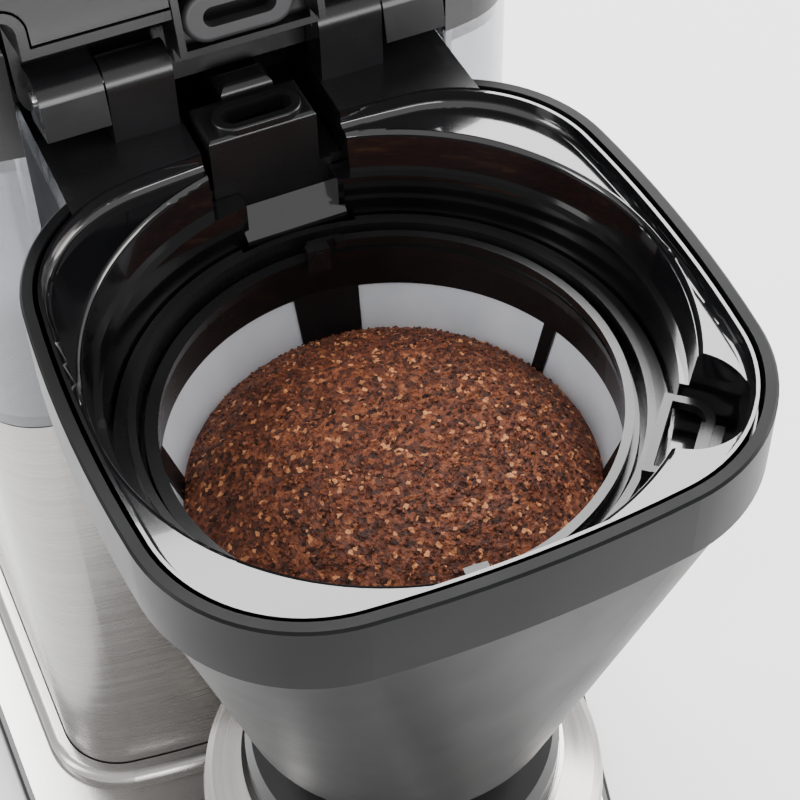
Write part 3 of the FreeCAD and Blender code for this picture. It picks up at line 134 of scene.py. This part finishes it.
def make_floor():
    mesh = bpy.data.meshes.new("floor")
    corners = [(x * FLOOR_HALF, y * FLOOR_HALF, 0) for x, y in ((-1, -1), (1, -1), (1, 1), (-1, 1))]
    mesh.from_pydata(corners, [], [(0, 1, 2, 3)])
    floor = add_object("floor", mesh)
    material = bpy.data.materials.new("floor")
    material.use_nodes = True
    shader = material.node_tree.nodes["Principled BSDF"]
    shader.inputs["Base Color"].default_value = FLOOR_COLOUR
    shader.inputs["Roughness"].default_value = FLOOR_ROUGHNESS
    mesh.materials.append(material)


make_camera()
make_studio()
make_floor()


# ---------------------------------------------------------------- materials
# Noise and cell scales are counts per metre; bump depths are metres.
FINE_GRAIN = 2600.0
GRAIN_DEPTH = 0.00002
COAT_ROUGHNESS = 0.03


class Paint:
    """A Principled material with short calls for its procedural nodes."""

    def __init__(self, name, colour, roughness, metallic=0.0, coat=0.0):
        self.material = bpy.data.materials.new(name)
        self.material.use_nodes = True
        self.tree = self.material.node_tree
        self.shader = self.tree.nodes["Principled BSDF"]
        self.set("Base Color", (*colour, 1))
        self.set("Roughness", roughness)
        self.set("Metallic", metallic)
        self.set("Coat Weight", coat)
        self.set("Coat Roughness", COAT_ROUGHNESS)
        self.place = self.tree.nodes.new("ShaderNodeTexCoord").outputs["Object"]

    def set(self, socket, value):
        self.shader.inputs[socket].default_value = value

    def link(self, output, socket):
        target = self.shader.inputs[socket] if isinstance(socket, str) else socket
        self.tree.links.new(output, target)

    def stretched(self, scale):
        mapping = self.tree.nodes.new("ShaderNodeMapping")
        mapping.inputs["Scale"].default_value = scale
        self.link(self.place, mapping.inputs["Vector"])
        return mapping.outputs["Vector"]

    def noise(self, scale, detail=3.0, rough=0.5, vector=None):
        node = self.tree.nodes.new("ShaderNodeTexNoise")
        node.inputs["Scale"].default_value = scale
        node.inputs["Detail"].default_value = detail
        node.inputs["Roughness"].default_value = rough
        self.link(vector or self.place, node.inputs["Vector"])
        return node.outputs["Fac"]

    def cells(self, scale):
        """One random value for each cell of crumb size."""
        node = self.tree.nodes.new("ShaderNodeTexVoronoi")
        node.inputs["Scale"].default_value = scale
        self.link(self.place, node.inputs["Vector"])
        pick = self.tree.nodes.new("ShaderNodeSeparateColor")
        self.link(node.outputs["Color"], pick.inputs["Color"])
        return pick.outputs["Red"]

    def ramp(self, factor, stops):
        node = self.tree.nodes.new("ShaderNodeValToRGB")
        ramp = node.color_ramp
        while len(ramp.elements) < len(stops):
            ramp.elements.new(0.5)
        for element, (place, colour) in zip(ramp.elements, stops):
            element.position = place
            element.color = (*colour, 1)
        self.link(factor, node.inputs["Fac"])
        return node.outputs["Color"]

    def spread(self, factor, low, high):
        node = self.tree.nodes.new("ShaderNodeMapRange")
        node.inputs["To Min"].default_value = low
        node.inputs["To Max"].default_value = high
        self.link(factor, node.inputs["Value"])
        return node.outputs["Result"]

    def bump(self, height, strength, distance):
        node = self.tree.nodes.new("ShaderNodeBump")
        node.inputs["Strength"].default_value = strength
        node.inputs["Distance"].default_value = distance
        self.link(height, node.inputs["Height"])
        self.link(node.outputs["Normal"], "Normal")


def moulded(name, dark, light, roughness, grain=FINE_GRAIN, depth=GRAIN_DEPTH, spread=0.06,
            coat=0.0, shine=0.5):
    """Injection-moulded plastic: slight tone drift, a fine texture and uneven gloss."""
    paint = Paint(name, light, roughness, coat=coat)
    paint.set("Specular IOR Level", shine)
    paint.link(paint.ramp(paint.noise(35.0, 2.0), [(0.3, dark), (0.7, light)]), "Base Color")
    fine = paint.noise(grain, 2.0)
    paint.link(paint.spread(paint.noise(60.0, 4.0), roughness - spread, roughness + spread),
               "Roughness")
    paint.bump(fine, 0.35, depth)
    return paint.material


def brushed(name, colour, streak, roughness=0.3):
    """Steel brushed along one direction: streak holds the noise scale along X, Y and Z."""
    paint = Paint(name, colour, roughness, metallic=1.0)
    lines = paint.noise(1.0, 3.0, 0.6, paint.stretched(streak))
    dark = tuple(c * 0.86 for c in colour)
    paint.link(paint.ramp(lines, [(0.3, dark), (0.7, colour)]), "Base Color")
    paint.link(paint.spread(lines, roughness - 0.07, roughness + 0.09), "Roughness")
    paint.bump(lines, 0.18, GRAIN_DEPTH)
    return paint.material


def clear_plastic(name):
    """Grey-blue clear plastic with a faint drift of tone and gloss."""
    paint = Paint(name, (0.78, 0.79, 0.82), 0.12)
    paint.set("Transmission Weight", 0.85)
    paint.set("IOR", 1.49)
    tints = [(0.2, (0.62, 0.63, 0.67)), (0.8, (0.8, 0.81, 0.84))]
    paint.link(paint.ramp(paint.noise(12.0, 2.0), tints), "Base Color")
    paint.link(paint.spread(paint.noise(40.0, 3.0), 0.08, 0.18), "Roughness")
    return paint.material


def coffee(name):
    """Reddish brown grounds with darker and a few bright orange crumbs."""
    paint = Paint(name, (0.2, 0.06, 0.02), 0.62)
    crumbs = [(0.0, (0.035, 0.009, 0.004)), (0.35, (0.105, 0.026, 0.011)),
              (0.7, (0.2, 0.052, 0.02)), (0.93, (0.3, 0.09, 0.033)),
              (0.985, (0.75, 0.32, 0.13))]
    paint.link(paint.ramp(paint.cells(900.0), crumbs), "Base Color")
    paint.bump(paint.noise(FINE_GRAIN, 4.0, 0.7), 0.7, 0.0003)
    return paint.material


def woven_mesh(name):
    """Fine pale metal cloth, its threads too small to see one by one."""
    paint = Paint(name, (0.7, 0.73, 0.78), 0.45, metallic=0.2)
    tints = [(0.2, (0.6, 0.64, 0.7)), (0.8, (0.78, 0.81, 0.86))]
    paint.link(paint.ramp(paint.noise(60.0, 3.0), tints), "Base Color")
    paint.bump(paint.noise(FINE_GRAIN, 1.0), 0.3, 0.0001)
    return paint.material


look = {
    "steel_brushed": brushed("steel_brushed", (0.4, 0.39, 0.378), (6, 6, 900), 0.26),
    "steel_small": brushed("steel_small", (0.68, 0.68, 0.68), (700, 700, 90), 0.25),
    "black_gloss": moulded("black_gloss", (0.003, 0.003, 0.0035), (0.006, 0.006, 0.007), 0.12,
                           grain=1500.0, depth=0.000003, spread=0.03, coat=0.5),
    "black_satin": moulded("black_satin", (0.005, 0.005, 0.0055), (0.01, 0.01, 0.011), 0.27,
                           shine=0.42),
    "charcoal_matte": moulded("charcoal_matte", (0.004, 0.0041, 0.0045),
                              (0.007, 0.0072, 0.0078), 0.36, shine=0.1),
    "tank_clear": clear_plastic("tank_clear"),
    "silver_trim": brushed("silver_trim", (0.7, 0.7, 0.7), (900, 8, 900), 0.3),
    "rubber_black": moulded("rubber_black", (0.01, 0.01, 0.01), (0.02, 0.02, 0.02), 0.75,
                            grain=900.0, depth=0.00004),
    "silicone_black": moulded("silicone_black", (0.02, 0.02, 0.022), (0.035, 0.035, 0.038), 0.5),
    "silicone_clear": moulded("silicone_clear", (0.6, 0.59, 0.56), (0.75, 0.74, 0.71), 0.4),
    "heater_alloy": moulded("heater_alloy", (0.4, 0.4, 0.4), (0.6, 0.6, 0.6), 0.5,
                            grain=500.0, depth=0.0002),
    "board_green": moulded("board_green", (0.01, 0.1, 0.04), (0.02, 0.18, 0.07), 0.4),
    "white_plastic": moulded("white_plastic", (0.7, 0.7, 0.68), (0.8, 0.8, 0.78), 0.4),
    "lens_blue": moulded("lens_blue", (0.15, 0.4, 0.75), (0.3, 0.6, 0.9), 0.2),
    "mesh_steel": woven_mesh("mesh_steel"),
    "ground_coffee": coffee("ground_coffee"),
}

SHARP_EDGE = math.radians(25)     # edges that bend more than this stay crisp

for entry in frame["record"]["subparts"]:
    node = nodes[entry["node"]]
    node.data.materials.clear()
    node.data.materials.append(look[entry["material_slot"]])
    node.data.shade_smooth()
    node.data.set_sharp_from_angle(angle=SHARP_EDGE)


# ---------------------------------------------------------------- filter weave
WEAVE_OUT = 0.9 * MM              # the weave sits this far out, so the frame's ribs stand proud inside
WEAVE_TRIM = 0.1 * MM
WEAVE_THICK = 0.2 * MM
WEAVE_TAPER = 18.0 * MM           # how much smaller the cone's radius is at its foot
WEAVE_AROUND = 192
WEAVE_SHARP_EDGE = math.radians(30)


def make_weave():
    """Fine woven cone between the frame's ribs, seen from inside and out."""
    low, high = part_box("filter_mesh")
    top_r = (high.x - low.x) / 2 + WEAVE_OUT - WEAVE_TRIM
    foot_r = top_r - WEAVE_TAPER
    profile = ((top_r, high.z), (foot_r, low.z),
               (foot_r + WEAVE_THICK, low.z), (top_r + WEAVE_THICK, high.z))
    bm = bmesh.new()
    loops = []
    for radius, height in profile:
        loops.append([bm.verts.new((BREW_X + radius * math.cos(math.tau * k / WEAVE_AROUND),
                                    BREW_Y + radius * math.sin(math.tau * k / WEAVE_AROUND),
                                    height))
                      for k in range(WEAVE_AROUND)])
    for here, there in zip(loops, loops[1:] + loops[:1]):
        for k in range(WEAVE_AROUND):
            after = (k + 1) % WEAVE_AROUND
            bm.faces.new((here[k], here[after], there[after], there[k]))
    bmesh.ops.recalc_face_normals(bm, faces=bm.faces)
    mesh = bpy.data.meshes.new("filter_weave")
    bm.to_mesh(mesh)
    bm.free()
    mesh.shade_smooth()
    mesh.set_sharp_from_angle(angle=WEAVE_SHARP_EDGE)
    weave = add_object("filter_weave", mesh)
    mesh.materials.append(look["mesh_steel"])
    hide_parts("filter_mesh")
    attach(weave, "filter")


make_weave()


# ---------------------------------------------------------------- coffee grounds
HEAP_EDGE_R = 52.3 * MM
HEAP_FALL = 21.5 * MM             # how far the edge lies below the crown
HEAP_CURVE = 2.8                  # power of the fall from crown to edge
HEAP_SINK = 0.9 * MM              # keeps the lumps inside the room the heap has
HEAP_FOOT = ((37.4 * MM, 61.2 * MM), (36.4 * MM, 63.8 * MM))    # radius, depth below the heap's top
HEAP_RINGS = 120
HEAP_AROUND = 280
LUMP_HEIGHT, LUMP_SCALE = 0.8 * MM, 90
CRUMB_HEIGHT, CRUMB_SCALE = 0.35 * MM, 1100
EDGE_CALM = 8                     # power that flattens the roughness towards the edge
GRAIN_COUNT = 9000
GRAIN_R = (0.3 * MM, 0.85 * MM)
GRAIN_SEED = 7


def heap_point(radius, angle):
    """Point on the heap's rough top, before it is moved to the brew axis."""
    x, y = radius * math.cos(angle), radius * math.sin(angle)
    fall = HEAP_FALL * (radius / HEAP_EDGE_R) ** HEAP_CURVE
    lumps = noise.fractal(Vector((x, y, 0.0)) * LUMP_SCALE, 0.6, 2.0, 3)
    crumbs = noise.fractal(Vector((x, y, 0.3)) * CRUMB_SCALE, 0.9, 2.0, 3)
    calm = 1.0 - (radius / HEAP_EDGE_R) ** EDGE_CALM
    rough = calm * (LUMP_HEIGHT * lumps + CRUMB_HEIGHT * crumbs)
    return Vector((x, y, -fall - HEAP_SINK + rough))


def heap_surface(top):
    """Closed heap: rough crown in rings, then its smooth side and flat foot."""
    angles = [math.tau * k / HEAP_AROUND for k in range(HEAP_AROUND)]
    bm = bmesh.new()
    crown = bm.verts.new(heap_point(0.0, 0.0) + top)
    loops = []
    for i in range(1, HEAP_RINGS + 1):
        radius = HEAP_EDGE_R * i / HEAP_RINGS
        loops.append([bm.verts.new(heap_point(radius, angle) + top) for angle in angles])
    for radius, depth in HEAP_FOOT:
        loops.append([bm.verts.new(top + Vector((radius * math.cos(angle),
                                                 radius * math.sin(angle), -depth)))
                      for angle in angles])
    for k in range(HEAP_AROUND):
        bm.faces.new((crown, loops[0][k], loops[0][(k + 1) % HEAP_AROUND]))
    for inner, outer in zip(loops, loops[1:]):
        for k in range(HEAP_AROUND):
            after = (k + 1) % HEAP_AROUND
            bm.faces.new((inner[k], outer[k], outer[after], inner[after]))
    bm.faces.new(list(reversed(loops[-1])))
    return bm


def add_grains(bm, top, draw):
    """Angular crumbs of many sizes lying half sunk in the surface."""
    seed = bmesh.new()
    bmesh.ops.create_icosphere(seed, subdivisions=1, radius=1.0)
    corners = [v.co.copy() for v in seed.verts]
    faces = [[v.index for v in face.verts] for face in seed.faces]
    seed.free()
    for _ in range(GRAIN_COUNT):
        radius = HEAP_EDGE_R * 0.985 * math.sqrt(draw.random())
        place = heap_point(radius, math.tau * draw.random()) + top
        size = GRAIN_R[0] + (GRAIN_R[1] - GRAIN_R[0]) * draw.random() ** 2.5
        turn = Euler((math.tau * draw.random(), math.tau * draw.random(),
                      math.tau * draw.random())).to_matrix()
        stretch = Vector((draw.uniform(0.7, 1.3), draw.uniform(0.7, 1.2), draw.uniform(0.5, 1.0)))
        verts = []
        for corner in corners:
            shaped = corner * stretch * (size * draw.uniform(0.75, 1.15))
            verts.append(bm.verts.new(place + turn @ shaped))
        for face in faces:
            bm.faces.new([verts[i] for i in face])


def make_coffee():
    """The heap and its loose grains, in place of the CAD heap."""
    top = Vector((BREW_X, BREW_Y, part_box("coffee_grounds")[1].z))
    bm = heap_surface(top)
    add_grains(bm, top, random.Random(GRAIN_SEED))
    mesh = bpy.data.meshes.new("coffee_heap")
    bm.to_mesh(mesh)
    bm.free()
    heap = add_object("coffee_heap", mesh)
    mesh.materials.append(look["ground_coffee"])
    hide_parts("coffee_grounds")
    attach(heap, "filter")


make_coffee()
